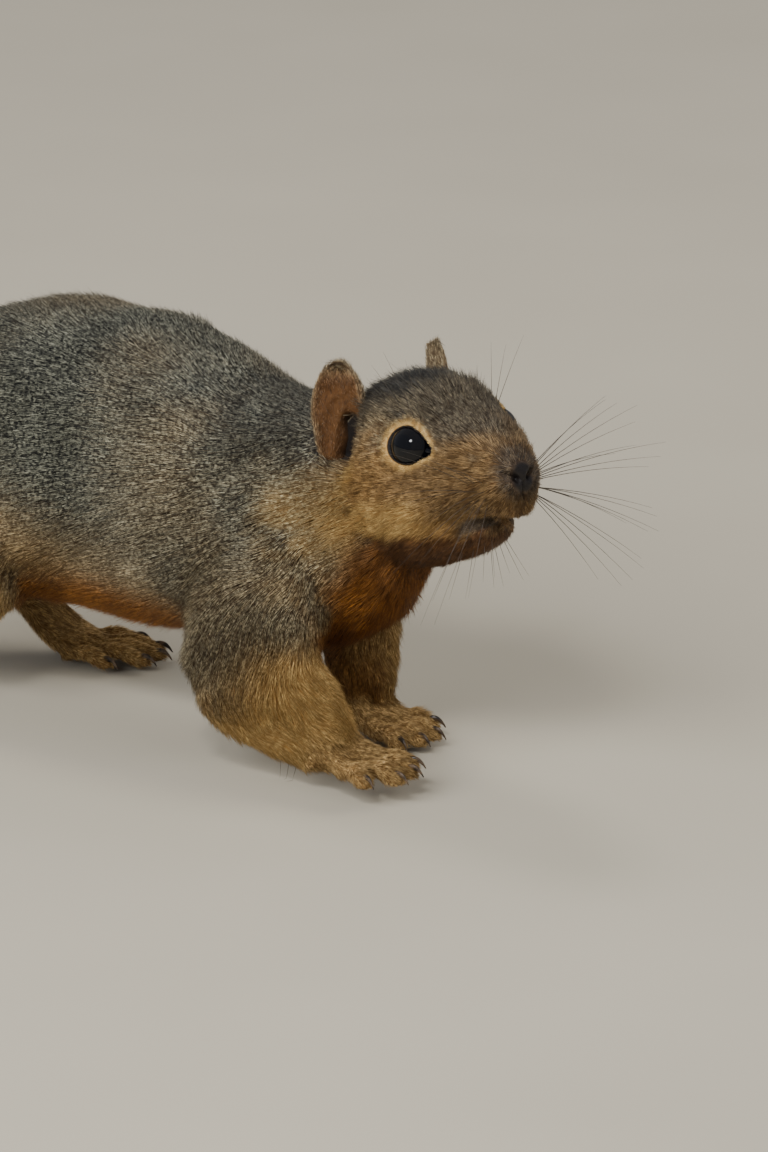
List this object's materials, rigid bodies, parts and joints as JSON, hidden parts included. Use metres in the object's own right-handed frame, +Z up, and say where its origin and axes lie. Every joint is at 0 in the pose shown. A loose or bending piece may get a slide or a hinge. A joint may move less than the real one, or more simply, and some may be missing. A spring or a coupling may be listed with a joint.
{
  "type": "fox squirrel",
  "caption": "Life-size still fox squirrel in mid-walk, head raised and turned to its right, brush trailing on the floor, to stand on any level surface.",
  "frame": {"origin": "middle of the whole animal's box, on the floor that it stands on", "axes": "+X forward, from the tail to the nose; +Y to the animal's left; +Z up"},
  "size_m": [0.461, 0.093, 0.1007],
  "materials": {
    "coat_grizzled": "short fur, grizzled black and buff",
    "coat_tawny": "short fur, tawny orange",
    "coat_buff": "very short fur, buff and grizzled",
    "coat_brush": "long fur, black and orange",
    "eye": "wet gloss, near black"
  },
  "bodies": {
    "root": {"head": "coat_buff", "lower_jaw": "coat_tawny", "eye_right": "eye", "ear_right": "coat_tawny", "eye_left": "eye", "ear_left": "coat_tawny", "trunk": "coat_grizzled", "neck": "coat_grizzled", "upper_arm_right": "coat_grizzled", "forearm_right": "coat_tawny", "hand_right": "coat_tawny", "upper_arm_left": "coat_grizzled", "forearm_left": "coat_tawny", "hand_left": "coat_tawny", "thigh_right": "coat_grizzled", "shank_right": "coat_tawny", "hind_foot_right": "coat_tawny", "thigh_left": "coat_grizzled", "shank_left": "coat_tawny", "hind_foot_left": "coat_tawny", "tail_base": "coat_brush", "tail_middle": "coat_brush", "tail_tip": "coat_brush"}
  },
  "joints": []
}
